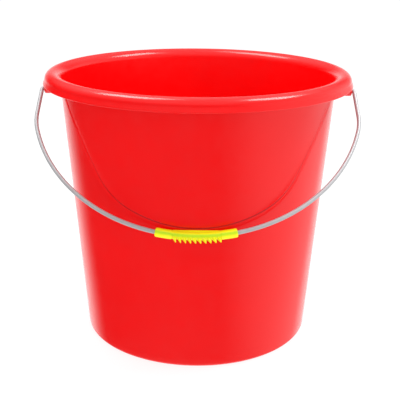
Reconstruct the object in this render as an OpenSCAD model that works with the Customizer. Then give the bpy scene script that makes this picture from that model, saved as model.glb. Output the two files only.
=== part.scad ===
// Plastic bucket with a rolled rim, a steel wire bail and a ribbed hand grip.
// Origin: centre of the base, on the surface it stands on. +Z is up.
// The bail hinges about X. It rests against the front wall, on the -Y side.

/* [Bucket] */
// Outer diameter of the rolled rim
rim_d = 300; // [250:1:360]
// Height from the foot to the top of the rim
bucket_h = 264; // [220:1:320]
// Outer diameter of the wall at the foot
base_d = 227; // [180:1:240]
// Thickness of the side wall
wall = 2.0; // [1.6:0.1:3.0]
// Thickness of the floor
floor_t = 2.4; // [2.0:0.1:4.0]
// Height of the floor's underside above the foot
foot_h = 3.0; // [2:0.5:6]
// Width of the flat of the foot ring
foot_w = 4.0; // [3:0.5:8]
// Radius where the wall turns into the foot
corner_r = 3.5; // [3:0.5:8]
// Radius where the wall meets the floor inside
floor_fillet = 6.0; // [3:0.5:10]

/* [Rolled rim] */
// How far the rim stands out past the wall below it
rim_overhang = 16.5; // [12:0.5:22]
// Horizontal distance from the top of the roll to its outer edge
roll_w = 9; // [8:0.5:13]
// Height of the rounded part of the roll
roll_h = 6.5; // [5:0.5:9]
// Height of the whole turned-down rim
rim_drop = 11.5; // [10:0.5:20]
// How far the turned-down skirt leans outwards
skirt_lean = 1.6; // [0.5:0.1:3]
// Height of the flare that leads from the wall up to the roll
flare_h = 8.5; // [6:0.5:12]
// Thickness of the rim
rim_t = 1.8; // [1.4:0.1:2.6]

/* [Raised wall panels] */
// Depth of each panel below the rim's lower edge
panel_h = 108; // [70:1:150]
// How far a panel stands out from the wall
panel_t = 0.6; // [0.5:0.1:2.0]
// Radius of the panel's lower edge
panel_bottom_r = 150; // [100:1:200]
// Radius of the panel's two lower corners
panel_corner_r = 60; // [40:1:90]
// Half of the angle that the lower edge sweeps
panel_bottom_angle = 24; // [20:1:35]
// Slope of the panel's flanks from the horizontal
panel_flank_angle = 63; // [55:1:75]

/* [Ears] */
// Distance from the top of the rim down to the hinge axis
pivot_drop = 19; // [19:0.5:30]
// Diameter of each round ear
ear_d = 12.6; // [10:0.2:16]
// How far the ears stand out past the rim
ear_proud = 0.8; // [0.4:0.1:3]
// Depth of the socket that takes the end of the wire
socket_depth = 14; // [8:0.5:16]
// Radial clearance of the wire in its socket
socket_clearance = 0.08; // [0.02:0.01:0.10]
// Width and depth of the bevel at the mouth of the socket
socket_bevel = 1.5; // [1.4:0.1:1.8]
// Thickness of the web between the ear and the rim
ear_web_t = 3.2; // [2:0.2:5]

/* [Bail] */
// Diameter of the wire
wire_d = 4.0; // [3:0.1:5]
// Gap between the ear's face and the leg of the wire
leg_gap = 0.5; // [0.3:0.1:2]
// Radius of the bend from the pin into the leg, on the wire's centre line
end_bend_r = 4.0; // [3.8:0.1:6]
// Outward lean of the legs
leg_angle = 2.5; // [0:0.1:5]
// Radius of the corners between the legs and the bow
shoulder_r = 65; // [50:1:75]
// How far the wire reaches past the rim's radius, measured from the hinge axis
bail_extra = 18.5; // [14:0.5:40]
// Distance from the hinge axis to the centre of the bow
bow_centre_drop = 10.5; // [5:0.5:15]
// Gap between the resting grip and the wall
rest_gap = 0.5; // [0.3:0.1:2]
// Gap between the end of the wire and the bottom of its socket
pin_end_gap = 1.0; // [0.5:0.1:2]

/* [Hand grip] */
// Length of the grip, in a straight line from end to end
grip_length = 72; // [60:1:100]
// Length of each plain sleeve at the ends
sleeve_length = 15; // [10:1:20]
// Diameter of the end sleeves
sleeve_d = 8.2; // [8:0.1:12]
// Diameter of the slimmer middle
core_d = 7.2; // [7:0.1:9]
// Length of the bevel on the sleeve ends
sleeve_bevel = 1.2; // [0.5:0.1:2]
// Radial clearance between the wire and the grip
grip_clearance = 0.05; // [0.02:0.01:0.2]
// Thickness of the flat web along the inner side
web_t = 3.6; // [2:0.1:5]
// How far the web's edge lies inside the wire's centre line
web_inset = 4.0; // [3.5:0.1:6]
// Number of fins
fin_count = 10; // [6:1:14]
// Thickness of a fin
fin_t = 1.1; // [0.8:0.1:3]
// Width of a fin across the grip
fin_w = 5.0; // [3:0.1:7]
// How far a fin's tip lies from the wire's centre line
fin_reach = 6.2; // [5:0.1:8]
// Slant of the fins
fin_slant = 38; // [0:1:40]

/* [Hidden] */
$fn = 96;
body_fn = 180;
// How far a shape that is joined or cut runs past the surface it meets
eps = 0.5;
// Angle along the bow by which the bore passes the grip's ends and the core enters the sleeves
overrun = 2;
// Bending draws the wire out a little, so each bend is this much thinner than the wire
bend_thinning = 0.02;
// Length by which each bend runs into the straight wire beside it
bend_overlap = 0.2;

rim_r = rim_d / 2;
base_r = base_d / 2;
neck_z = bucket_h - rim_drop;
neck_r = rim_r - rim_overhang;
wall_slope = (neck_r - base_r) / neck_z;
wall_angle = atan(wall_slope);
crest_r = rim_r - roll_w;
flare_z = bucket_h - flare_h;
roll_z = bucket_h - roll_h;
floor_z = foot_h + floor_t;

pivot_z = bucket_h - pivot_drop;
ear_face = rim_r + ear_proud;
socket_r = wire_d / 2 + socket_clearance;
pin_end = ear_face - socket_depth + pin_end_gap;

leg_x = ear_face + leg_gap + wire_d / 2;
bail_reach = rim_r + bail_extra;
bow_r = bail_reach - bow_centre_drop;
// The end bend turns the wire from the X direction into the leaning leg.
bend_sweep = 90 - leg_angle;
bend_centre = [leg_x - end_bend_r, end_bend_r];
leg_dir = [sin(leg_angle), cos(leg_angle)];
leg_out = [cos(leg_angle), -sin(leg_angle)];
leg_start = bend_centre + end_bend_r * leg_out;
// The leg's length is such that its shoulder arc runs smoothly into the bow.
shoulder_offset = leg_start - shoulder_r * leg_out - [0, bow_centre_drop];
shoulder_along = shoulder_offset * leg_dir;
centres_apart = bow_r - shoulder_r;
leg_length = sqrt(centres_apart ^ 2 - shoulder_offset * shoulder_offset + shoulder_along ^ 2)
    - shoulder_along;
shoulder_centre = leg_start + leg_length * leg_dir - shoulder_r * leg_out;
bow_half_angle = atan2(shoulder_centre[0], shoulder_centre[1] - bow_centre_drop);
shoulder_sweep = 90 + leg_angle - bow_half_angle;

grip_half_angle = asin(grip_length / 2 / bow_r);
sleeve_angle = sleeve_length / bow_r * 180 / PI;
fin_span = 2 * (grip_half_angle - sleeve_angle);
web_y = bow_centre_drop + bow_r * cos(fin_span / 2) - web_inset;

// The resting bail leans on the wall, so its angle follows from the wall's taper.
grip_back = norm([bail_reach - web_y, web_t / 2]);
rest_offset = max(grip_back, sleeve_d / 2) + panel_t + rest_gap;
rest_angle = wall_angle + acos((rest_offset + wall_r(pivot_z) * cos(wall_angle)) / bail_reach);

// Outer radius of the plain wall at a height.
function wall_r(z) = base_r + wall_slope * z;

// How far inside the leaning wall the centre of a corner of radius r lies.
function corner_inset(r) = r * (1 - sin(wall_angle)) / cos(wall_angle);

// Points along part of an ellipse, from angle a0 to angle a1.
function arc(centre, rx, ry, a0, a1, steps) =
    [for (i = [0 : steps]) let (a = a0 + (a1 - a0) * i / steps) centre + [rx * cos(a), ry * sin(a)]];

// A list without its first point, for an arc that goes on from the one before.
function rest(points) = [for (i = [1 : len(points) - 1]) points[i]];

module body_profile() {
    inner_r = wall_r(flare_z) - wall;
    foot_centre = [base_r - corner_inset(corner_r), corner_r];
    foot_inner_r = foot_centre[0] - foot_w;
    floor_centre = [wall_r(floor_z) - wall - corner_inset(floor_fillet), floor_z + floor_fillet];
    tip_r = (rim_t - 0.2) / 2;
    polygon(concat(
        [[0, foot_h], [foot_inner_r, foot_h], [foot_inner_r, 0]],
        arc(foot_centre, corner_r, corner_r, -90, -wall_angle, 6),
        arc([crest_r, flare_z], wall_r(flare_z) - crest_r, flare_h - rim_t, 0, 90, 8),
        rest(arc([crest_r, roll_z], roll_w - skirt_lean - rim_t, roll_h - rim_t, 90, 0, 8)),
        arc([rim_r - tip_r, neck_z + tip_r], tip_r, tip_r, -180, 0, 6),
        arc([crest_r, roll_z], roll_w - skirt_lean, roll_h, 0, 90, 10),
        rest(arc([crest_r, flare_z], inner_r - crest_r, flare_h, 90, 0, 10)),
        arc(floor_centre, floor_fillet, floor_fillet, -wall_angle, -90, 6),
        [[0, floor_z]]
    ));
}

// Front view of a panel: a wide lower arc, two tighter corners and straight flanks.
module panel_outline() {
    low_z = neck_z - panel_h;
    bottom_centre = [0, low_z + panel_bottom_r];
    side = panel_bottom_r - panel_corner_r;
    corner_centre = bottom_centre + side * [sin(panel_bottom_angle), -cos(panel_bottom_angle)];
    corner = arc(corner_centre, panel_corner_r, panel_corner_r,
        panel_bottom_angle - 90, panel_flank_angle - 90, 8);
    foot = corner[len(corner) - 1];
    rise = flare_z + rim_t - foot[1];
    flank_top = foot + [rise / tan(panel_flank_angle), rise];
    half = concat(
        arc(bottom_centre, panel_bottom_r, panel_bottom_r, -90, panel_bottom_angle - 90, 8),
        rest(corner), [flank_top]);
    polygon(concat(half, [for (i = [len(half) - 1 : -1 : 1]) [-half[i][0], half[i][1]]]));
}

// Both raised panels, cut from one thin cone that follows the wall.
module panels() {
    low_z = neck_z - panel_h - eps;
    high_z = flare_z + rim_t;
    intersection() {
        rotate_extrude($fn = body_fn)
            polygon([[wall_r(low_z) - eps, low_z], [wall_r(low_z) + panel_t, low_z],
                [wall_r(high_z) + panel_t, high_z], [wall_r(high_z) - eps, high_z]]);
        rotate([90, 0, 0])
            linear_extrude(height = rim_d, center = true)
                panel_outline();
    }
}

// One ear, standing out along +X, with the web that ties it to the wall and rim.
module ear() {
    root_x = wall_r(pivot_z) - wall / 2;
    edge = 1.2;
    translate([root_x, 0, pivot_z])
        rotate([0, 90, 0]) {
            cylinder(d = ear_d, h = ear_face - edge - root_x);
            translate([0, 0, ear_face - edge - root_x])
                cylinder(d1 = ear_d, d2 = ear_d - 2 * edge, h = edge);
        }
    web_x = rim_r - skirt_lean - rim_t / 2;
    translate([root_x, -ear_web_t / 2, pivot_z])
        cube([web_x - root_x, ear_web_t, roll_z - pivot_z]);
}

module ear_socket() {
    translate([ear_face - socket_depth, 0, pivot_z])
        rotate([0, 90, 0])
            cylinder(r = socket_r, h = socket_depth + eps);
    translate([ear_face - socket_bevel, 0, pivot_z])
        rotate([0, 90, 0])
            cylinder(r1 = socket_r, r2 = socket_r + socket_bevel + eps, h = socket_bevel + eps);
}

module bucket_body() {
    color([0.93, 0.07, 0.08])
        difference() {
            union() {
                rotate_extrude($fn = body_fn) body_profile();
                panels();
                for (side = [0, 180]) rotate([0, 0, side]) ear();
            }
            for (side = [0, 180]) rotate([0, 0, side]) ear_socket();
        }
}

// Places what is drawn in the bail's own plane: X across, Y away from the hinge axis.
module bail_pose() {
    translate([0, 0, pivot_z])
        rotate([rest_angle, 0, 0])
            mirror([0, 1, 0])
                children();
}

// A bent length of round bar: centre, bend radius, start angle and sweep in the plane.
module bent_bar(centre, bend_r, start, sweep, d) {
    translate([centre[0], centre[1], 0])
        rotate([0, 0, start])
            rotate_extrude(angle = sweep, $fn = 180)
                translate([bend_r, 0]) circle(d = d);
}

// A straight length of round bar from a point, along a direction in the plane.
module straight_bar(start, direction, length, d) {
    translate([start[0], start[1], 0])
        rotate([0, 0, atan2(direction[1], direction[0])])
            rotate([0, 90, 0])
                cylinder(d = d, h = length);
}

// A bend in the wire, which runs on into its neighbours.
module wire_bend(centre, bend_r, start, sweep) {
    extra = bend_overlap / bend_r * 180 / PI;
    bent_bar(centre, bend_r, start - extra, sweep + 2 * extra, wire_d - bend_thinning);
}

module half_bail() {
    straight_bar([pin_end, 0], [1, 0], bend_centre[0] - pin_end, wire_d);
    wire_bend(bend_centre, end_bend_r, -90, bend_sweep);
    straight_bar(leg_start, leg_dir, leg_length, wire_d);
    wire_bend(shoulder_centre, shoulder_r, -leg_angle, shoulder_sweep);
}

module bail_wire() {
    color([0.75, 0.76, 0.78])
        bail_pose() {
            half_bail();
            mirror([1, 0, 0]) half_bail();
            bent_bar([0, bow_centre_drop], bow_r, 90 - bow_half_angle, 2 * bow_half_angle, wire_d);
        }
}

// Places something at an angle along the bow, with X along the radius outwards.
module on_bow(angle) {
    translate([0, bow_centre_drop, 0])
        rotate([0, 0, 90 + angle])
            translate([bow_r, 0, 0])
                children();
}

module grip_sleeve() {
    bevel_angle = sleeve_bevel / bow_r * 180 / PI;
    cap_r = sleeve_d / 2 - 0.02;
    bent_bar([0, bow_centre_drop], bow_r, 90 + grip_half_angle - sleeve_angle,
        sleeve_angle - bevel_angle, sleeve_d);
    on_bow(grip_half_angle - bevel_angle)
        rotate([-90, 0, 0])
            rotate_extrude()
                polygon([[0, -eps], [cap_r, -eps], [cap_r, 0], [cap_r - sleeve_bevel, sleeve_bevel],
                    [0, sleeve_bevel]]);
}

// Flat web on the side towards the bucket's mouth. Its edge is straight, the wire is bowed.
module grip_web() {
    web_half = bow_r * sin(fin_span / 2) + 1;
    translate([-web_half, web_y, -web_t / 2])
        cube([2 * web_half, bail_reach - web_y, web_t]);
}

// Each fin leans over from the point where it leaves the core. It starts at the wire.
module grip_fins() {
    core_r = core_d / 2;
    start = (wire_d / 2 - core_r) / cos(fin_slant);
    end = (fin_reach - core_r) / cos(fin_slant);
    for (i = [0 : fin_count - 1])
        on_bow(fin_span * ((i + 0.5) / fin_count - 0.5))
            translate([core_r, 0, 0])
                rotate([0, 0, -fin_slant])
                    translate([start, -fin_t / 2, -fin_w / 2])
                        cube([end - start, fin_t, fin_w]);
}

module hand_grip() {
    color([0.88, 0.90, 0.10])
        bail_pose()
            difference() {
                union() {
                    bent_bar([0, bow_centre_drop], bow_r, 90 - fin_span / 2 - overrun,
                        fin_span + 2 * overrun, core_d);
                    grip_sleeve();
                    mirror([1, 0, 0]) grip_sleeve();
                    grip_web();
                    grip_fins();
                }
                bent_bar([0, bow_centre_drop], bow_r, 90 - grip_half_angle - overrun,
                    2 * (grip_half_angle + overrun), wire_d + 2 * grip_clearance);
            }
}

bucket_body();
bail_wire();
hand_grip();
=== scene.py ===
# %% [markdown]
# # A plastic bucket with a wire bail
#
# The object has three pieces. The body is one injection moulding in glossy
# red polypropylene. A bent steel wire, the bail, springs into its two ears.
# A short soft moulding on the wire is the hand grip.
#
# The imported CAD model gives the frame: it says where each piece is and what
# swings. This script makes the fine surfaces around it, gives each one its
# material, and lights the whole in a plain studio. It works in metres, and
# sizes that a maker would give in millimetres go through one small function.

import math

import bmesh
import bpy
import numpy as np
from mathutils import Matrix, Vector


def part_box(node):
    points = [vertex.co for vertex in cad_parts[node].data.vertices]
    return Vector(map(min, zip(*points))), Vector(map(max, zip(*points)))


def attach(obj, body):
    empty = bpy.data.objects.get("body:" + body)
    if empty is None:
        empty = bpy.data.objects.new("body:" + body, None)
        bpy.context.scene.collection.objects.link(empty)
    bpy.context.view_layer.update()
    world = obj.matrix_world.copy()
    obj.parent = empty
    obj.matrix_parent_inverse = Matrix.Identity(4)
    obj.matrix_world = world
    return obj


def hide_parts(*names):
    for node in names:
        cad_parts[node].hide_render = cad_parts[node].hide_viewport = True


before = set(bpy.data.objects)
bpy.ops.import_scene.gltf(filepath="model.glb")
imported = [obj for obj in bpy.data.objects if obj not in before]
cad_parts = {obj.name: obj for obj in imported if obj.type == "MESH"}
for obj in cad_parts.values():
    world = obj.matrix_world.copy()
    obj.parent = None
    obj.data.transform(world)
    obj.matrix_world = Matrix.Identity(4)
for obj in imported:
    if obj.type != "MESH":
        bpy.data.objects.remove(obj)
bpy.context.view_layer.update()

# %% [markdown]
# Sizes are written in millimetres, as a maker would, and colours as the hex
# codes of a colour chart. Blender wants metres and linear light, so two small
# functions turn one into the other, in one place and in one way.


# %% Millimetres and colours
def mm(value):
    """Millimetres to metres, for a number or an array."""
    return np.asarray(value, float) * 0.001 if np.ndim(value) else value * 0.001


def hex_colour(code):
    """An sRGB hex code as the linear colour that shaders use."""
    shares = [int(code[i:i + 2], 16) / 255 for i in (1, 3, 5)]
    linear = [s / 12.92 if s <= 0.04045 else ((s + 0.055) / 1.055) ** 2.4 for s in shares]
    return (*linear, 1.0)


print("mid grey is", round(hex_colour("#808080")[0], 3), "in linear light")

# %% [markdown]
# ## Sizes
#
# These are the same named sizes as in the CAD source. The visual pieces are
# drawn from them, so that every surface falls on the CAD solid it stands for.

# %% Sizes of the body, in millimetres
RIM_R, BASE_R, HEIGHT = 150.0, 113.5, 264.0
WALL, FLOOR_T, FOOT_H, FOOT_W = 2.0, 2.4, 3.0, 4.0
CORNER_R, FLOOR_FILLET = 3.5, 6.0
RIM_OVERHANG, ROLL_W, ROLL_H, RIM_DROP = 16.5, 9.0, 6.5, 11.5
SKIRT_LEAN, FLARE_H, RIM_T = 1.6, 8.5, 1.8

NECK_Z = HEIGHT - RIM_DROP
WALL_SLOPE = (RIM_R - RIM_OVERHANG - BASE_R) / NECK_Z
WALL_ANGLE = math.atan(WALL_SLOPE)
CREST_R = RIM_R - ROLL_W
FLARE_Z = HEIGHT - FLARE_H
ROLL_Z = HEIGHT - ROLL_H
FLOOR_Z = FOOT_H + FLOOR_T


def wall_r(z):
    """Outer radius of the plain wall at a height."""
    return BASE_R + WALL_SLOPE * z


print("the wall leans", round(math.degrees(WALL_ANGLE), 2), "degrees")

# %% Sizes of the bail and the grip, in millimetres
PIVOT_DROP, EAR_PROUD, BAIL_EXTRA = 19.0, 0.8, 18.5
PIVOT_Z = HEIGHT - PIVOT_DROP
EAR_FACE = RIM_R + EAR_PROUD
EAR_R, SOCKET_R, SOCKET_DEPTH, SOCKET_BEVEL = 6.3, 2.08, 14.0, 1.5
WIRE_R, LEG_GAP, END_BEND_R, PIN_END_GAP = 2.0, 0.5, 4.0, 1.0
LEG_ANGLE = math.radians(2.5)
SHOULDER_R, BOW_DROP = 65.0, 10.5
BAIL_REACH = RIM_R + BAIL_EXTRA
BOW_R = BAIL_REACH - BOW_DROP
GRIP_LENGTH, SLEEVE_LENGTH = 72.0, 15.0
SLEEVE_R, CORE_R = 4.1, 3.6
WEB_HALF, WEB_INSET = 1.8, 4.0
FIN_COUNT, FIN_T, FIN_W, FIN_REACH = 10, 1.1, 5.0, 6.2
FIN_SLANT = math.radians(38)
GRIP_HALF = math.asin(GRIP_LENGTH / 2 / BOW_R)
SLEEVE_ANGLE = SLEEVE_LENGTH / BOW_R
FIN_SPAN = 2 * (GRIP_HALF - SLEEVE_ANGLE)
WEB_Y = BOW_DROP + BOW_R * math.cos(FIN_SPAN / 2) - WEB_INSET
PANEL_RISE, REST_GAP = 0.6, 0.5
GRIP_BACK = max(math.hypot(BAIL_REACH - WEB_Y, WEB_HALF), SLEEVE_R)
REST_REACH = GRIP_BACK + PANEL_RISE + REST_GAP + wall_r(PIVOT_Z) * math.cos(WALL_ANGLE)
REST_ANGLE = WALL_ANGLE + math.acos(REST_REACH / BAIL_REACH)
print("the bow has a radius of", BOW_R, "mm and rests at", round(math.degrees(REST_ANGLE), 2))

# %% [markdown]
# ## The camera
#
# The bucket is seen from in front and a little above, as someone sees it who
# reaches down for the bail. The lens is fairly long, so the ellipse of the
# rim stays calm. The camera leans by half a degree, as a hand-held one does.

# %% Camera
CAMERA_PLACE = Vector((0.0029, -0.7949, 0.3958))
CAMERA_PITCH = math.radians(18.56)
CAMERA_LEAN = 0.0096
ahead = Vector((0, math.cos(CAMERA_PITCH), -math.sin(CAMERA_PITCH)))
plumb = Vector((0, math.sin(CAMERA_PITCH), math.cos(CAMERA_PITCH)))
up = plumb * math.cos(CAMERA_LEAN) - Vector((1, 0, 0)) * math.sin(CAMERA_LEAN)
right = ahead.cross(up)

camera_data = bpy.data.cameras.new("camera")
camera_data.lens = 73.28
camera_data.sensor_width = 36.0
camera = bpy.data.objects.new("camera", camera_data)
turn = Matrix((right, up, -ahead)).transposed()
camera.matrix_world = Matrix.Translation(CAMERA_PLACE) @ turn.to_4x4()
bpy.context.scene.collection.objects.link(camera)
bpy.context.scene.camera = camera
print("camera", round((CAMERA_PLACE - Vector((0, 0, 0.13))).length, 3), "m from the middle")

# %% [markdown]
# ## From points to a mesh
#
# Each piece here is a grid of points: rows run one way, columns the other,
# and four neighbours make a face. A grid that closes on itself makes a ring
# or a tube, and its open ends are closed with a fan of triangles.


# %% Grid mesh helper
def grid_faces(rows, columns, first=0):
    """Quads between rows of points, each row closing on itself."""
    faces = []
    for i in range(rows - 1):
        for j in range(columns):
            k = (j + 1) % columns
            a, b = first + i * columns, first + (i + 1) * columns
            faces.append((a + j, a + k, b + k, b + j))
    return faces


def closed_grid(points):
    """Points shaped (rows, columns, 3), fanned shut at both ends, as vertices and faces."""
    rows, columns = points.shape[:2]
    vertices = points.reshape(-1, 3).tolist()
    faces = grid_faces(rows, columns)
    for row, order in ((0, -1), (rows - 1, 1)):
        vertices.append(points[row].mean(0).tolist())
        centre = len(vertices) - 1
        for j in range(columns):
            pair = (row * columns + j, row * columns + (j + 1) % columns)[::order]
            faces.append((*pair, centre))
    return vertices, faces


def make_piece(name, shells, sharp_angle=32):
    """One mesh object from several (vertices, faces) shells, in millimetres."""
    vertices, faces = [], []
    for shell_vertices, shell_faces in shells:
        first = len(vertices)
        vertices += shell_vertices
        faces += [tuple(first + i for i in face) for face in shell_faces]
    mesh = bpy.data.meshes.new(name)
    mesh.from_pydata(mm(np.array(vertices)).tolist(), [], faces)
    work = bmesh.new()
    work.from_mesh(mesh)
    bmesh.ops.recalc_face_normals(work, faces=work.faces[:])
    work.to_mesh(mesh)
    work.free()
    mesh.shade_smooth()
    mesh.set_sharp_from_angle(angle=math.radians(sharp_angle))
    piece = bpy.data.objects.new(name, mesh)
    bpy.context.scene.collection.objects.link(piece)
    print(name, "has", len(mesh.vertices), "points and", len(mesh.polygons), "faces")
    return piece


def arc(centre, rx, ry, start, end, steps):
    """Points on part of an ellipse, angles in degrees."""
    angles = np.radians(np.linspace(start, end, steps + 1))
    return [(centre[0] + rx * math.cos(a), centre[1] + ry * math.sin(a)) for a in angles]


def soften(points, passes):
    """Cuts each corner of an open line, so that it turns gently. The ends stay."""
    for _ in range(passes):
        cut = [points[0]]
        for (ax, ay), (bx, by) in zip(points, points[1:]):
            cut += [(0.75 * ax + 0.25 * bx, 0.75 * ay + 0.25 * by),
                    (0.25 * ax + 0.75 * bx, 0.25 * ay + 0.75 * by)]
        points = cut + [points[-1]]
    return points


print("a quarter circle in 4 steps has", len(arc((0, 0), 1, 1, 0, 90, 4)), "points")

# %% [markdown]
# ## The body
#
# An injection-moulded bucket is a thin shell of one thickness. Its wall
# leans out so that it leaves the mould, and its rim is rolled over so that
# it stays round. It could be a lathe shape with the panels pressed in by a
# boolean, but a boolean leaves hard, uneven edges. Here the rows of the grid
# bend to follow the outline of the raised panels instead, so that the small
# step is as soft and as even all along as the moulded one.

# %% The outline of a raised panel
PANEL_LOW = NECK_Z - 108.0
PANEL_BOTTOM_R, PANEL_CORNER_R = 150.0, 60.0
PANEL_BOTTOM_ANGLE, PANEL_FLANK_ANGLE = math.radians(24), math.radians(63)

bottom_z = PANEL_LOW + PANEL_BOTTOM_R
side = PANEL_BOTTOM_R - PANEL_CORNER_R
corner_x = side * math.sin(PANEL_BOTTOM_ANGLE)
corner_z = bottom_z - side * math.cos(PANEL_BOTTOM_ANGLE)
flank_x = corner_x + PANEL_CORNER_R * math.sin(PANEL_FLANK_ANGLE)
flank_z = corner_z - PANEL_CORNER_R * math.cos(PANEL_FLANK_ANGLE)


def outline_z(x):
    """Height of the panel's outline at a distance from its middle, seen from in front."""
    bottom = bottom_z - np.sqrt(np.maximum(PANEL_BOTTOM_R**2 - x**2, 0))
    across = np.clip(x - corner_x, 0, PANEL_CORNER_R)
    corner = corner_z - np.sqrt(PANEL_CORNER_R**2 - across**2)
    flank = flank_z + (x - flank_x) * math.tan(PANEL_FLANK_ANGLE)
    turn_x = PANEL_BOTTOM_R * math.sin(PANEL_BOTTOM_ANGLE)
    return np.where(x < turn_x, bottom, np.where(x < flank_x, corner, flank))


# How far out the wall is at the outline depends on how high the outline is
# there, so the height starts from a guess and settles in a few dozen passes.
COLUMNS, FIRST_GUESS_Z, PASSES = 480, 200.0, 60
LOWEST_EDGE, HIGHEST_EDGE = 100, 300
around = np.arange(COLUMNS) / COLUMNS * 2 * math.pi
fold = np.abs(np.sin(around))
edge_z = np.full(COLUMNS, FIRST_GUESS_Z)
for _ in range(PASSES):
    wanted_z = np.clip(outline_z(wall_r(edge_z) * fold), LOWEST_EDGE, HIGHEST_EDGE)
    edge_z = 0.5 * edge_z + 0.5 * wanted_z
print("the outline runs from", round(edge_z.min(), 1), "mm up to the rim")

# %% How high and how wide the step is, column by column
STEP_WIDTH, STEEPEST, ROOM_USED = 2.4, 2.6, 0.8
HIGHEST_STEP = NECK_Z - 0.6
FADE_HEIGHT = 9.0


def smooth(share):
    """Eases from 0 to 1."""
    return share * share * (3 - 2 * share)


# The rows run level, so where the outline climbs the step is stretched in height
# to stay as wide as it is elsewhere. Under the rim it fades into the plain wall.
column_width = 2 * math.pi * wall_r(FIRST_GUESS_Z) / COLUMNS
climb = (np.roll(edge_z, -1) - np.roll(edge_z, 1)) / (2 * column_width)
steepness = np.minimum(np.hypot(1, climb), STEEPEST)
step_z = np.minimum(edge_z, HIGHEST_STEP)
fade = np.clip((edge_z - HIGHEST_STEP) / FADE_HEIGHT, 0, 1)
rise = PANEL_RISE * (1 - smooth(fade))
half_step = np.minimum(STEP_WIDTH / 2 * steepness, (FLARE_Z - HIGHEST_STEP) * ROOM_USED)
print("the step is at most", round(2 * half_step.max(), 1), "mm high")

# %% Rows of the outer wall, bent along the outline
# Each row of the step: how far through the step it lies, how far it stands
# out as a share of the rise, and how deep in the crease it is, which sets how
# much painted shade the material puts there. At the foot of the step the wall
# dips a little, and that groove, darkened by painted shade, draws the line of
# the panel.
STEP_SHAPE = [(0.05, -0.1, 0), (0.12, -0.3, 0.3), (0.2, -0.45, 1), (0.5, -0.45, 1),
              (0.6, -0.1, 1), (0.66, 0.4, 0.8), (0.72, 0.8, 0.2), (0.8, 0.95, 0),
              (0.9, 0.99, 0), (1.0, 1.0, 0)]
WALL_ROWS_BELOW, WALL_ROWS_ABOVE = 26, 18


def spread(low, high, count):
    """Heights from low to high, without the first, for every column."""
    return [low + (high - low) * i / count for i in range(1, count + 1)]


foot_centre = (BASE_R - CORNER_R * (1 - math.sin(WALL_ANGLE)) / math.cos(WALL_ANGLE), CORNER_R)
foot_arc = arc(foot_centre, CORNER_R, CORNER_R, -90, -math.degrees(WALL_ANGLE), 8)
wall_start = np.full(COLUMNS, foot_arc[-1][1])
wall_rows = [(wall_r(z), z) for z in spread(wall_start, step_z - half_step, WALL_ROWS_BELOW)]
for share, lift, _ in STEP_SHAPE:
    z = step_z + half_step * (2 * share - 1)
    wall_rows.append((wall_r(z) + rise * lift, z))
for z in spread(step_z + half_step, np.full(COLUMNS, FLARE_Z), WALL_ROWS_ABOVE):
    wall_rows.append((wall_r(z) + rise, z))
print(len(wall_rows), "rows of wall")

# %% [markdown]
# Under the floor there is a ring to stand on, and in its middle a small
# raised pip in a shallow dish, where the plastic ran into the mould. Both
# could be pieces of their own, but as a few more rows of the same grid they
# leave no seam.

# %% The underside
FOOT_FILLET, FOOT_EDGE = 1.2, 0.5
foot_in = foot_centre[0] - FOOT_W
gate = [(0.7, 2.75), (1.2, 2.85), (1.45, 3.3), (2.1, 3.55),
        (3.6, 3.6), (5.4, 3.5), (6.6, 3.1), (7.2, 3.0)]
underside = gate + [(r, FOOT_H) for r in np.linspace(12, foot_in - FOOT_FILLET - 0.4, 10)]
underside += arc((foot_in - FOOT_FILLET, FOOT_H - FOOT_FILLET), FOOT_FILLET, FOOT_FILLET, 90, 0, 4)
underside += arc((foot_in + FOOT_EDGE, FOOT_EDGE), FOOT_EDGE, FOOT_EDGE, 180, 270, 4)
underside += [(foot_centre[0] - FOOT_W / 2, 0.0)]
print("the bucket stands on a ring of radius", round(foot_centre[0] - FOOT_W / 2, 1), "mm")

# %% [markdown]
# The rim goes out from the wall like a trumpet, rolls over and ends in a
# short skirt. Its bends are elliptical, and the corner between the roll and
# the skirt is softened, so that the gloss runs over it without a break.

# %% The rim and the inside
# The skirt's round end is a touch thinner than the rim, and it stays a hair
# inside the CAD's outer radius.
TIP_THINNER, TIP_INSET, FADE_ROWS = 0.2, 0.06, 6
tip = (RIM_T - TIP_THINNER) / 2
under_flare = arc((CREST_R, FLARE_Z), wall_r(FLARE_Z) - CREST_R, FLARE_H - RIM_T, 0, 90, 9)[1:]
under_roll = arc((CREST_R, ROLL_Z), ROLL_W - SKIRT_LEAN - RIM_T, ROLL_H - RIM_T, 90, 0, 9)[1:]
skirt_tip = arc((RIM_R - TIP_INSET - tip, NECK_Z + tip), tip, tip, -180, 0, 8)
roll = arc((CREST_R, ROLL_Z), ROLL_W - SKIRT_LEAN, ROLL_H, 0, 90, 12)
outer_roll = soften([skirt_tip[-1], *roll], 2)
inner_wall_top = wall_r(FLARE_Z) - WALL
inner_flare = arc((CREST_R, FLARE_Z), inner_wall_top - CREST_R, FLARE_H, 90, 0, 12)[1:]
fillet_x = wall_r(FLOOR_Z) - WALL - FLOOR_FILLET * (1 - math.sin(WALL_ANGLE)) / math.cos(WALL_ANGLE)
fillet = arc((fillet_x, FLOOR_Z + FLOOR_FILLET), FLOOR_FILLET, FLOOR_FILLET,
             -math.degrees(WALL_ANGLE), -90, 8)
inner_wall = [(wall_r(z) - WALL, z) for z in np.linspace(FLARE_Z, fillet[0][1], 28)[1:-1]]
floor_top = [(r, FLOOR_Z) for r in np.linspace(fillet_x, 10, 10)[1:]]

rim_start = [(r + rise * (1 - smooth(min(1, (i + 1) / FADE_ROWS))), z)
             for i, (r, z) in enumerate(under_flare)]
body_rows = (underside + foot_arc + wall_rows + rim_start + under_roll + skirt_tip[:-1]
             + outer_roll + inner_flare + inner_wall + fillet + floor_top)
print(len(body_rows), "rows in all")


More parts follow.
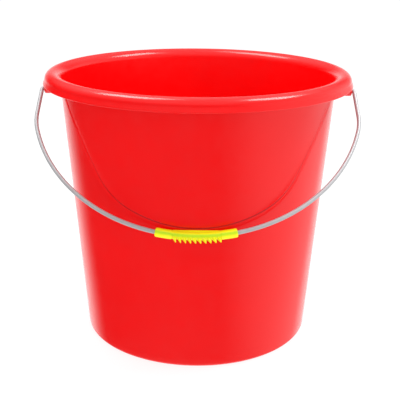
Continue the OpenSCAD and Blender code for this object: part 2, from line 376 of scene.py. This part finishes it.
# %% Sweep the rows round the axis
def turned(rows, angles):
    """Points for rows of (radius, height), where either may differ by column."""
    grid = np.zeros((len(rows), len(angles), 3))
    for i, (r, z) in enumerate(rows):
        grid[i, :, 0] = r * np.sin(angles)
        grid[i, :, 1] = -r * np.cos(angles)
        grid[i, :, 2] = z
    return grid


body_shell = closed_grid(turned(body_rows, around))
print("the shell has", len(body_shell[1]), "faces")

# %% [markdown]
# ## The ears
#
# Each ear is a round boss that grows out of the wall with a soft fillet at
# its root. It holds a blind socket for the end of the wire, and a thin web
# ties it to the underside of the rim. A boolean could join them to the body,
# but it would break up the fine grid of the wall. They are drawn as shells
# that start inside the wall, as the plastic of one moulding runs into itself.

# %% One boss with its socket
EAR_FILLET, EAR_EDGE = 2.2, 1.2
ear_root = wall_r(PIVOT_Z) - WALL / 2
root_fillet = arc((EAR_R + EAR_FILLET, ear_root + 3.4), EAR_FILLET, EAR_FILLET, 260, 180, 6)
outer_edge = arc((EAR_R - EAR_EDGE, EAR_FACE - EAR_EDGE), EAR_EDGE, EAR_EDGE, 0, 90, 5)
ear_profile = [(ear_root, EAR_R + EAR_FILLET), (ear_root + 0.8, EAR_R + EAR_FILLET - 0.1)]
ear_profile += [(x, r) for r, x in root_fillet]
ear_profile += [(EAR_FACE - EAR_EDGE - 0.1, EAR_R)]
ear_profile += [(x, r) for r, x in outer_edge]
mouth_r = SOCKET_R + SOCKET_BEVEL
ear_profile += [(EAR_FACE, mouth_r + 0.3), (EAR_FACE - 0.1, mouth_r),
                (EAR_FACE - SOCKET_BEVEL, SOCKET_R), (EAR_FACE - SOCKET_DEPTH, SOCKET_R),
                (EAR_FACE - SOCKET_DEPTH, SOCKET_R * 0.5)]
EAR_COLUMNS = 56


def boss(direction):
    """The boss on one side: direction is 1 or -1 along X."""
    angles = np.arange(EAR_COLUMNS) / EAR_COLUMNS * 2 * math.pi
    grid = np.zeros((len(ear_profile), EAR_COLUMNS, 3))
    for i, (x, r) in enumerate(ear_profile):
        grid[i, :, 0] = direction * x
        grid[i, :, 1] = r * np.cos(angles)
        grid[i, :, 2] = PIVOT_Z + r * np.sin(angles)
    return closed_grid(grid)


print("a boss has", len(boss(1)[1]), "faces")

# %% The web between boss and rim
WEB_THICK = 3.2
WEB_EDGE = ((0.5, -1), (0.12, -0.9), (0, -0.6), (0, 0.6), (0.12, 0.9), (0.5, 1))
web_flare = arc((CREST_R, FLARE_Z), wall_r(FLARE_Z) - WALL / 2 - CREST_R,
                FLARE_H - RIM_T / 2, 0, 90, 4)
web_roll = arc((CREST_R, ROLL_Z), ROLL_W - SKIRT_LEAN - RIM_T / 2, ROLL_H - RIM_T / 2, 80, 0, 4)
web_line = [(ear_root, PIVOT_Z), *web_flare, *web_roll, (RIM_R - 1.8, NECK_Z + 1.6),
            (RIM_R - 2.4, PIVOT_Z + 5.2), (RIM_R - 3.4, PIVOT_Z)]


def web(direction):
    """A flat plate with slightly rounded edges, in the plane of the hinge axis."""
    middle = np.mean(web_line, axis=0)
    rows = []
    for inset, depth in WEB_EDGE:
        row = []
        for x, z in web_line:
            toward = middle - (x, z)
            x, z = (x, z) + toward / np.linalg.norm(toward) * inset
            row.append((direction * x, depth * WEB_THICK / 2, z))
        rows.append(row)
    return closed_grid(np.array(rows))


bucket = make_piece("bucket_moulding", [body_shell, boss(1), boss(-1), web(1), web(-1)])

# %% [markdown]
# The groove at the foot of the panel's step is only a quarter of a
# millimetre deep, and in the even light of this room it would hardly show.
# So its shade is painted into the colour as a darker red, a painted shade:
# the mesh says how deep in the crease each point lies, in an attribute that
# the material reads.

# %% Mark the crease for the material
crease = np.zeros(len(bucket.data.vertices))
step_row = len(underside) + len(foot_arc) + WALL_ROWS_BELOW
for i, (_, _, depth) in enumerate(STEP_SHAPE):
    first = (step_row + i) * COLUMNS
    crease[first:first + COLUMNS] = depth * rise / PANEL_RISE
bucket.data.attributes.new("crease", "FLOAT", "POINT").data.foreach_set("value", crease)
print(int((crease > 0).sum()), "points lie in a crease")

# %% [markdown]
# ## The bail
#
# The wire is bent in one plane: a short pin at each end, a tight bend, a
# nearly straight leg, a wide shoulder and a long bow. A curve object with a
# bevel could draw it. Here the centre line is worked out from its arcs and a
# ring of points is carried along it, because that keeps the exact bends of
# the CAD solid and lets the cut ends be chamfered.


# %% From the bail's plane to the object's frame
def posed(points):
    """Points (x, away from the hinge, off the plane) in the frame, with the bail at rest."""
    x, y, z = np.moveaxis(np.asarray(points, float), -1, 0)
    cos, sin = math.cos(REST_ANGLE), math.sin(REST_ANGLE)
    return np.stack([x, -y * cos - z * sin, PIVOT_Z - y * sin + z * cos], axis=-1)


print("the middle of the bow is at", posed([0, BAIL_REACH, 0]).round(1), "mm")

# %% The centre line of the wire
leg_x = EAR_FACE + LEG_GAP + WIRE_R
pin_end = EAR_FACE - SOCKET_DEPTH + PIN_END_GAP
bend_centre = np.array([leg_x - END_BEND_R, END_BEND_R])
leg_out = np.array([math.cos(LEG_ANGLE), -math.sin(LEG_ANGLE)])
leg_dir = np.array([math.sin(LEG_ANGLE), math.cos(LEG_ANGLE)])
leg_start = bend_centre + END_BEND_R * leg_out
offset = leg_start - SHOULDER_R * leg_out - (0, BOW_DROP)
along = offset @ leg_dir
leg_length = math.sqrt((BOW_R - SHOULDER_R) ** 2 - offset @ offset + along**2) - along
shoulder_centre = leg_start + leg_length * leg_dir - SHOULDER_R * leg_out
bow_half = math.atan2(shoulder_centre[0], shoulder_centre[1] - BOW_DROP)
print("each leg is", round(leg_length, 1), "mm long and the bow spans",
      round(2 * math.degrees(bow_half)), "degrees")


# %% A tube along a line in the bail's plane
def arc_points(centre, radius, start, end, steps):
    """Points on an arc in the plane; angles in radians, measured from the X direction."""
    angles = np.linspace(start, end, steps + 1)
    return np.stack([centre[0] + radius * np.cos(angles), centre[1] + radius * np.sin(angles)], 1)


def tube(line, radii, sides):
    """A round tube along a plane line, with a radius for each of its points."""
    forward = np.gradient(line, axis=0)
    forward /= np.linalg.norm(forward, axis=1)[:, None]
    outward = np.stack([forward[:, 1], -forward[:, 0]], 1)
    turns = np.arange(sides) / sides * 2 * math.pi
    grid = np.zeros((len(line), sides, 3))
    across = np.asarray(radii)[:, None] * np.cos(turns)
    grid[:, :, :2] = line[:, None, :] + outward[:, None, :] * across[:, :, None]
    grid[:, :, 2] = np.asarray(radii)[:, None] * np.sin(turns)
    return closed_grid(posed(grid))


# %% The wire
# The tube is drawn a hair thinner than the wire, so that it stays in the CAD's
# box. Its first two rings at each end are smaller, for the chamfered cut.
WIRE_SIDES, WIRE_SKIN_R = 28, 1.97
CHAMFER = (0.45, 0.12)
PIN_RINGS = (0.02, 0.25, 0.5, 3.0, 6.0, 9.0)
right_half = np.concatenate([
    np.array([[pin_end + x, 0.0] for x in PIN_RINGS]),
    arc_points(bend_centre, END_BEND_R, -math.pi / 2, -LEG_ANGLE, 10),
    leg_start + leg_dir * np.linspace(0, leg_length, 8)[1:, None],
    arc_points(shoulder_centre, SHOULDER_R, -LEG_ANGLE, math.pi / 2 - bow_half, 30)[1:],
    arc_points((0, BOW_DROP), BOW_R, math.pi / 2 - bow_half, math.pi / 2, 48)[1:],
])
left_half = right_half[-2::-1] * (-1, 1)
wire_line = np.concatenate([right_half, left_half])
wire_radii = np.full(len(wire_line), WIRE_SKIN_R)
wire_radii[[0, -1]] = WIRE_R - CHAMFER[0]
wire_radii[[1, -2]] = WIRE_R - CHAMFER[1]
bail = make_piece("bail_of_wire", [tube(wire_line, wire_radii, WIRE_SIDES)], 40)

# %% [markdown]
# ## The hand grip
#
# The grip is a small moulding in soft polyethylene. A plain sleeve closes
# each end. Between them the core is slimmer, with a straight web on the
# side that the palm rests on and ten slanted fins where the fingers close.
# The core is one tube whose section changes from place to place: a circle
# in the sleeves, and a circle joined with a rounded bar where the web is.
# Separate solids would be quicker to draw, but their seams would show as
# hard lines where the moulding has soft ones.

# %% Section of the grip along its length
SLEEVE_BEVEL, SLEEVE_STEP, WEB_RUN_IN = 1.2, 0.9, 0.6
BAR_SQUARENESS, BLEND_SHARPNESS = 9, 14
SECTION_POINTS = 72
half_arc = GRIP_HALF * BOW_R
section_turns = np.arange(SECTION_POINTS) / SECTION_POINTS * 2 * math.pi


def round_radius(s):
    """Radius of the sleeves and of the round core at a distance s from the middle."""
    from_end = half_arc - abs(s)
    if from_end > SLEEVE_LENGTH:
        return CORE_R
    if from_end > SLEEVE_LENGTH - SLEEVE_STEP:
        share = (SLEEVE_LENGTH - from_end) / SLEEVE_STEP
        return CORE_R + (SLEEVE_R - CORE_R) * math.sqrt(max(0, 1 - (1 - share) ** 2))
    if from_end < SLEEVE_BEVEL:
        drop = 1 - from_end / SLEEVE_BEVEL
        return SLEEVE_R - SLEEVE_BEVEL * (1 - math.sqrt(max(0, 1 - drop**2)))
    return SLEEVE_R


def section(s):
    """Distance from the wire's centre line to the surface, in every direction round it."""
    radius = np.full(SECTION_POINTS, round_radius(s))
    past_sleeve = half_arc - abs(s) - SLEEVE_LENGTH
    in_web = smooth(min(1, max(0, (past_sleeve + WEB_RUN_IN) / WEB_RUN_IN)))
    angle = s / BOW_R
    reach = (BOW_DROP + BOW_R * math.cos(angle) - WEB_Y) / math.cos(angle)
    toward = -np.cos(section_turns)
    sideways = np.abs(np.sin(section_turns))
    power = BAR_SQUARENESS
    along_bar = (np.maximum(toward, 0) / reach) ** power
    across_bar = (sideways / WEB_HALF) ** power
    bar = (along_bar + across_bar) ** (-1 / power)
    bar = np.where(toward > 0, bar * in_web, 0)
    return (radius**BLEND_SHARPNESS + bar**BLEND_SHARPNESS) ** (1 / BLEND_SHARPNESS)


print("half the grip is", round(half_arc, 2), "mm along the wire")

# %% Core, sleeves and web in one shell
# Rings lie close together where the section changes: at the bevelled end and
# where a sleeve steps down to the core. The lip is the mouth that the wire
# comes out of, as distances from the end and radii.
ends = np.array([0.0, 0.12, 0.3, 0.55, 0.85, 1.2])
steps = np.array([0.9, 0.87, 0.8, 0.65, 0.45, 0.2, 0.0])
lip = ((-0.02, 2.5), (0.45, 2.06), (0.5, 1.2))
stations = np.concatenate([
    -half_arc + ends,
    np.linspace(-half_arc + 1.8, -half_arc + SLEEVE_LENGTH - 1.2, 12),
    -half_arc + SLEEVE_LENGTH - steps,
    np.linspace(-half_arc + SLEEVE_LENGTH + 0.4, 0, 30),
])
stations = np.concatenate([stations, -stations[-2::-1]])


def core_ring(s, radii):
    """A ring of points round the wire at a distance s along the bow."""
    angle = s / BOW_R
    outward = np.array([math.sin(angle), math.cos(angle)])
    middle = np.array([0, BOW_DROP]) + outward * BOW_R
    ring = np.zeros((SECTION_POINTS, 3))
    ring[:, :2] = middle + outward * (np.cos(section_turns) * radii)[:, None]
    ring[:, 2] = np.sin(section_turns) * radii
    return ring


rings = [core_ring(-half_arc + s, np.full(SECTION_POINTS, r)) for s, r in lip[::-1]]
rings += [core_ring(s, section(s)) for s in stations]
rings += [core_ring(half_arc - s, np.full(SECTION_POINTS, r)) for s, r in lip]
core_shell = closed_grid(posed(np.array(rings)))
print("the core has", len(core_shell[1]), "faces")


# %% The fins
FIN_TAPER, FIN_EDGE, ROOT_GAP = 0.82, 0.3, 0.1


def fin(angle):
    """A thin plate with rounded edges, which leans over along the wire."""
    work = bmesh.new()
    bmesh.ops.create_cube(work, size=1.0)
    start = (WIRE_R + ROOT_GAP - CORE_R) / math.cos(FIN_SLANT)
    end = (FIN_REACH - CORE_R) / math.cos(FIN_SLANT)
    for v in work.verts:
        thin = FIN_TAPER if v.co.x > 0 else 1.0
        along_fin = end if v.co.x > 0 else start
        v.co = Vector((along_fin, v.co.y * FIN_T * thin, v.co.z * FIN_W * thin))
    bmesh.ops.bevel(work, geom=work.edges[:], offset=FIN_EDGE, segments=3, profile=0.5,
                    affect="EDGES")
    outward = Matrix.Rotation(math.pi / 2 + angle, 3, "Z")
    lean = Matrix.Rotation(-FIN_SLANT, 3, "Z")
    middle = Vector((0, BOW_DROP, 0)) + outward @ Vector((BOW_R, 0, 0))
    points = [middle + outward @ (lean @ v.co + Vector((CORE_R, 0, 0))) for v in work.verts]
    work.verts.index_update()
    faces = [tuple(v.index for v in f.verts) for f in work.faces]
    work.free()
    return posed([tuple(p) for p in points]).tolist(), faces


fins = [fin(FIN_SPAN * ((i + 0.5) / FIN_COUNT - 0.5)) for i in range(FIN_COUNT)]
grip = make_piece("grip_moulding", [core_shell, *fins], 40)

# %% [markdown]
# ## What goes with what
#
# The wire and the grip swing together about the
# ears. Each new piece stands for its CAD node, which is hidden. Its material
# is given further down.

# %% Ride and replace
for piece, body, node, slot_name in (
    (bucket, "body", "bucket_body", "red_plastic"),
    (bail, "bail", "bail_wire", "steel_wire"),
    (grip, "bail", "hand_grip", "yellow_plastic"),
):
    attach(piece, body)
    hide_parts(node)
    made = np.array([v.co for v in piece.data.vertices])
    low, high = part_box(node)
    print(piece.name, "to CAD, low", (made.min(0) - low).round(5),
          "high", (made.max(0) - high).round(5))


# %% [markdown]
# ## Materials
#
# Each material is a shader with a few textures worked out in space, so it
# needs no picture and no unwrapping. One function adds a node, sets what it
# is given and links what it is told to.

# %% One function for nodes
def add_node(tree, kind, values=None, links=None, **settings):
    """A node of a kind: settings are its options, values its constants, links its inputs."""
    made_node = tree.nodes.new(kind)
    for key, value in settings.items():
        setattr(made_node, key, value)
    for key, value in (values or {}).items():
        made_node.inputs[key].default_value = value
    for key, source in (links or {}).items():
        tree.links.new(source, made_node.inputs[key])
    return made_node


def new_material(name):
    """An empty material and its node tree."""
    material = bpy.data.materials.new(name)
    material.use_nodes = True
    material.node_tree.nodes.clear()
    return material, material.node_tree


def per_mm(size):
    """Scale of a noise whose features are about this many millimetres across."""
    return 1000.0 / size


print("features of 2 mm need a scale of", per_mm(2))

# %% [markdown]
# ** Polypropylene, injection-moulded against polished steel.** The eye sees
# a deep, even red under a clear gloss, and the wall mirrors the room a
# little wavily, because plastic sinks as it cools: the waves are about 22 mm
# long. The red varies very slightly where the melt flowed, over some 45 mm,
# and hands leave the gloss uneven over some 9 mm. The mould's own grain is
# too fine to show, so it is drawn as coarse as 1.6 mm. The crease round a
# panel is painted a darker red, as painted shade for the shadow in the
# groove. Typical IOR 1.49, roughness 0.2. A clear coat could
# give the gloss, but a moulding has one surface only, so its own reflection
# does it.

# %% Red polypropylene
red, tree = new_material("glossy_moulded_polypropylene")
place = add_node(tree, "ShaderNodeTexCoord").outputs["Object"]
flow = add_node(tree, "ShaderNodeTexNoise", {"Scale": per_mm(45), "Detail": 3.0, "Roughness": 0.5},
                {"Vector": place})
tint = add_node(tree, "ShaderNodeMix", {"A": hex_colour("#F60408"), "B": hex_colour("#EE0306")},
                {"Factor": flow.outputs["Fac"]}, data_type="RGBA")
# Painted shade: the deeper a point lies in the crease, the more the red is mixed towards a dark
# red, for the shadow that falls in the groove.
in_crease = add_node(tree, "ShaderNodeAttribute", attribute_name="crease")
shaded = add_node(tree, "ShaderNodeMath", {1: 0.7}, {0: in_crease.outputs["Fac"]},
                  operation="MULTIPLY")
painted_crease_shade = add_node(tree, "ShaderNodeMix", {"B": hex_colour("#A80A12")},
                {"Factor": shaded.outputs["Value"], "A": tint.outputs["Result"]}, data_type="RGBA")
handling = add_node(tree, "ShaderNodeTexNoise", {"Scale": per_mm(9), "Detail": 4.0},
                    {"Vector": place})
gloss = add_node(tree, "ShaderNodeMapRange",
                 {"From Min": 0.3, "From Max": 0.7, "To Min": 0.17, "To Max": 0.23},
                 {"Value": handling.outputs["Fac"]})
sink = add_node(tree, "ShaderNodeTexNoise", {"Scale": per_mm(22), "Detail": 1.0}, {"Vector": place})
waves = add_node(tree, "ShaderNodeBump", {"Strength": 1.0, "Distance": mm(0.05)},
                 {"Height": sink.outputs["Fac"]})
peel = add_node(tree, "ShaderNodeTexNoise", {"Scale": per_mm(1.6), "Detail": 2.0},
                {"Vector": place})
skin = add_node(tree, "ShaderNodeBump", {"Strength": 1.0, "Distance": mm(0.0025)},
                {"Height": peel.outputs["Fac"], "Normal": waves.outputs["Normal"]})
shader = add_node(tree, "ShaderNodeBsdfPrincipled", {"IOR": 1.49},
                  {"Base Color": painted_crease_shade.outputs["Result"], "Roughness": gloss.outputs["Result"],
                   "Normal": skin.outputs["Normal"]})
add_node(tree, "ShaderNodeOutputMaterial", links={"Surface": shader.outputs["BSDF"]})
bucket.data.materials.append(red)
print(red.name, "has", len(tree.nodes), "nodes")

# %% [markdown]
# **Low-carbon steel, drawn to wire and zinc-plated.** The eye sees a soft
# pale grey that mirrors little: cloudy over some 6 mm from the plating, and
# with a fine grit, drawn as coarse as 0.5 mm so that it shows. Bright zinc
# would be fully metallic at a roughness near 0.3. A dull zinc skin scatters
# most of its light, so it is matched with metallic 0.3 and roughness 0.46.
# The die's lines could follow the wire, but they are finer than the eye sees.

# %% Zinc-plated drawn wire
steel, tree = new_material("zinc_plated_drawn_steel")
place = add_node(tree, "ShaderNodeTexCoord").outputs["Object"]
cloud = add_node(tree, "ShaderNodeTexNoise", {"Scale": per_mm(6), "Detail": 3.0}, {"Vector": place})
zinc = add_node(tree, "ShaderNodeMix", {"A": hex_colour("#B0B1B3"), "B": hex_colour("#BEBFC1")},
                {"Factor": cloud.outputs["Fac"]}, data_type="RGBA")
dull = add_node(tree, "ShaderNodeMapRange",
                {"From Min": 0.3, "From Max": 0.7, "To Min": 0.42, "To Max": 0.5},
                {"Value": cloud.outputs["Fac"]})
grit = add_node(tree, "ShaderNodeTexNoise", {"Scale": per_mm(0.5), "Detail": 2.0},
                {"Vector": place})
drawn = add_node(tree, "ShaderNodeBump", {"Strength": 1.0, "Distance": mm(0.004)},
                 {"Height": grit.outputs["Fac"]})
shader = add_node(tree, "ShaderNodeBsdfPrincipled", {"Metallic": 0.3},
                  {"Base Color": zinc.outputs["Result"], "Roughness": dull.outputs["Result"],
                   "Normal": drawn.outputs["Normal"]})
add_node(tree, "ShaderNodeOutputMaterial", links={"Surface": shader.outputs["BSDF"]})
bail.data.materials.append(steel)
print(steel.name, "has", len(tree.nodes), "nodes")

# %% [markdown]
# ** Low-density polyethylene, injection-moulded.** It lets some light
# through, and its own colour is a clear yellow. Near a set distance from the
# bow's centre, 1.6 mm outside the wire's line, the colour is painted
# greener: painted shade of the grey wire seen through the plastic. Away from
# that band the plastic keeps its clear yellow. Typical IOR 1.51. Red and
# green light go further into it than blue, and its grain is about 1.2 mm. It
# could be traced as clear plastic, but a little scattering under the surface
# looks the same at this size and is far quicker.

# %% Yellow-green polyethylene
yellow, tree = new_material("translucent_moulded_polyethylene")
place = add_node(tree, "ShaderNodeTexCoord").outputs["Object"]
bow_centre = tuple(mm(posed([0, BOW_DROP, 0])).tolist())
from_centre = add_node(tree, "ShaderNodeVectorMath", {1: bow_centre}, {0: place},
                       operation="DISTANCE")
beyond = add_node(tree, "ShaderNodeMath", {1: mm(BOW_R + 1.6)}, {0: from_centre.outputs["Value"]},
                  operation="SUBTRACT")
aside = add_node(tree, "ShaderNodeMath", links={0: beyond.outputs["Value"]}, operation="ABSOLUTE")
# Painted shade: thin is 0 at the band 1.6 mm outside the wire's line, where the wire's shade is
# painted green, and 1 away from it. It does not measure thickness.
thin = add_node(tree, "ShaderNodeMapRange",
                {"From Min": mm(0.3), "From Max": mm(2.0), "To Min": 0.0, "To Max": 1.0},
                {"Value": aside.outputs["Value"]}, interpolation_type="SMOOTHSTEP")
yellow_and_painted_wire_shade = add_node(tree, "ShaderNodeMix", {"A": hex_colour("#C0E600"), "B": hex_colour("#FAF80C")},
               {"Factor": thin.outputs["Result"]}, data_type="RGBA")
grain = add_node(tree, "ShaderNodeTexNoise", {"Scale": per_mm(1.2), "Detail": 3.0},
                 {"Vector": place})
matt = add_node(tree, "ShaderNodeMapRange",
                {"From Min": 0.3, "From Max": 0.7, "To Min": 0.3, "To Max": 0.42},
                {"Value": grain.outputs["Fac"]})
soft_skin = add_node(tree, "ShaderNodeBump", {"Strength": 1.0, "Distance": mm(0.008)},
                     {"Height": grain.outputs["Fac"]})
shader = add_node(tree, "ShaderNodeBsdfPrincipled",
                  {"IOR": 1.51, "Subsurface Weight": 0.25, "Subsurface Radius": (1.0, 1.0, 0.2),
                   "Subsurface Scale": mm(1.5)},
                  {"Base Color": yellow_and_painted_wire_shade.outputs["Result"], "Roughness": matt.outputs["Result"],
                   "Normal": soft_skin.outputs["Normal"]})
add_node(tree, "ShaderNodeOutputMaterial", links={"Surface": shader.outputs["BSDF"]})
grip.data.materials.append(yellow)
print(yellow.name, "has", len(tree.nodes), "nodes")

# %% [markdown]
# ## The studio
#
# A white table in a white room leaves hardly any shadow, so the plain light
# comes from everywhere. A glossy thing also mirrors its surroundings, and a
# studio shapes those on their own, with dark and bright boards that show
# only in the gloss. Here a dome does that: the light of the room isn't
# seen in the gloss, and the dome is seen nowhere else. It is dark in front
# and on the left, so the red stays deep there. It is bright on the right,
# behind, overhead and below, so the round wall gets its shape, the rim a
# bright edge and the wire a light side.

# %% The table
FLOOR_HALF = 4.0
floor_mesh = bpy.data.meshes.new("studio_floor")
corners = [(-1, -1), (1, -1), (1, 1), (-1, 1)]
floor_mesh.from_pydata([(x * FLOOR_HALF, y * FLOOR_HALF, 0) for x, y in corners], [],
                       [(0, 1, 2, 3)])
floor = bpy.data.objects.new("studio_floor", floor_mesh)
bpy.context.scene.collection.objects.link(floor)
floor.visible_glossy = False
table_top, tree = new_material("white_laminate")
shader = add_node(tree, "ShaderNodeBsdfPrincipled",
                  {"Base Color": hex_colour("#808080"), "Roughness": 0.7, "Specular IOR Level": 0.0,
                   "Emission Color": (1, 1, 1, 1), "Emission Strength": 0.82})
add_node(tree, "ShaderNodeOutputMaterial", links={"Surface": shader.outputs["BSDF"]})
floor_mesh.materials.append(table_top)
print("the table is", 2 * FLOOR_HALF, "m wide")

# %% The light of the room
world = bpy.data.worlds.new("studio_room")
world.use_nodes = True
world.node_tree.nodes.clear()
glow = add_node(world.node_tree, "ShaderNodeBackground", {"Color": (1, 1, 1, 1), "Strength": 1.0})
add_node(world.node_tree, "ShaderNodeOutputWorld", links={"Surface": glow.outputs["Background"]})
world.cycles_visibility.glossy = False
world.cycles.sampling_method = "NONE"
bpy.context.scene.world = world
print("the room shines with", glow.inputs["Strength"].default_value)

# %% The dome that the gloss mirrors
DOME_R = 3.0
work = bmesh.new()
bmesh.ops.create_icosphere(work, subdivisions=4, radius=DOME_R)
dome_mesh = bpy.data.meshes.new("studio_dome")
work.to_mesh(dome_mesh)
work.free()
dome = bpy.data.objects.new("studio_dome", dome_mesh)
bpy.context.scene.collection.objects.link(dome)
dome.visible_camera = dome.visible_diffuse = dome.visible_shadow = False
dome.visible_transmission = dome.visible_volume_scatter = False

print("the dome has a radius of", DOME_R, "m")

# %% The boards on the dome
boards, tree = new_material("reflector_boards")
place = add_node(tree, "ShaderNodeTexCoord").outputs["Object"]
split = add_node(tree, "ShaderNodeSeparateXYZ", links={"Vector": place})
behind = add_node(tree, "ShaderNodeVectorMath", {1: (0, 1, -0.6)}, {0: place},
                  operation="DOT_PRODUCT")
# Each board: the way it lies, where it starts and where it is full, as shares
# of the dome's radius, and its light at those two places.
BOARDS = (
    (split.outputs["X"], 0.25, 0.95, 0.04, 0.95),     # on the right
    (behind.outputs["Value"], 0.6, 1.0, 0.0, 1.2),    # behind and low
    (split.outputs["Z"], 0.2, 0.9, 0.0, 0.9),         # overhead
    (split.outputs["Z"], -0.5, -0.9, 0.0, 1.2),       # below
)
brightest = None
for way, start, full, dim, bright in BOARDS:
    board = add_node(tree, "ShaderNodeMapRange",
                     {"From Min": start * DOME_R, "From Max": full * DOME_R,
                      "To Min": dim, "To Max": bright}, {"Value": way},
                     interpolation_type="SMOOTHSTEP").outputs["Result"]
    if brightest is not None:
        board = add_node(tree, "ShaderNodeMath", links={0: brightest, 1: board},
                         operation="MAXIMUM").outputs["Value"]
    brightest = board
glow = add_node(tree, "ShaderNodeEmission", {"Color": (1, 1, 1, 1)}, {"Strength": brightest})
add_node(tree, "ShaderNodeOutputMaterial", links={"Surface": glow.outputs["Emission"]})
boards.cycles.emission_sampling = "NONE"
dome_mesh.materials.append(boards)
print("the dome has", len(BOARDS), "boards")


# %% Two soft boxes overhead
def soft_box(name, location, target, size, radiance):
    """A square lamp at a place, turned to a target, as bright as a surface of that radiance."""
    lamp = bpy.data.lights.new(name, "AREA")
    lamp.shape, lamp.size = "SQUARE", size
    lamp.energy = radiance * math.pi * size * size
    holder = bpy.data.objects.new(name, lamp)
    holder.location = location
    aim = Vector(target) - Vector(location)
    holder.rotation_euler = aim.to_track_quat("-Z", "Y").to_euler()
    bpy.context.scene.collection.objects.link(holder)
    print(name, "gives", round(lamp.energy, 1), "W")


soft_box("soft_box_left", (-0.44, 0.26, 1.26), (-0.05, -0.13, 0.26), 0.5, 9.0)
soft_box("soft_box_right", (0.65, 0.01, 1.26), (0.06, -0.13, 0.26), 0.5, 12.0)
# The plain view transform keeps the red as strong as its hex value says.
bpy.context.scene.view_settings.view_transform = "Standard"
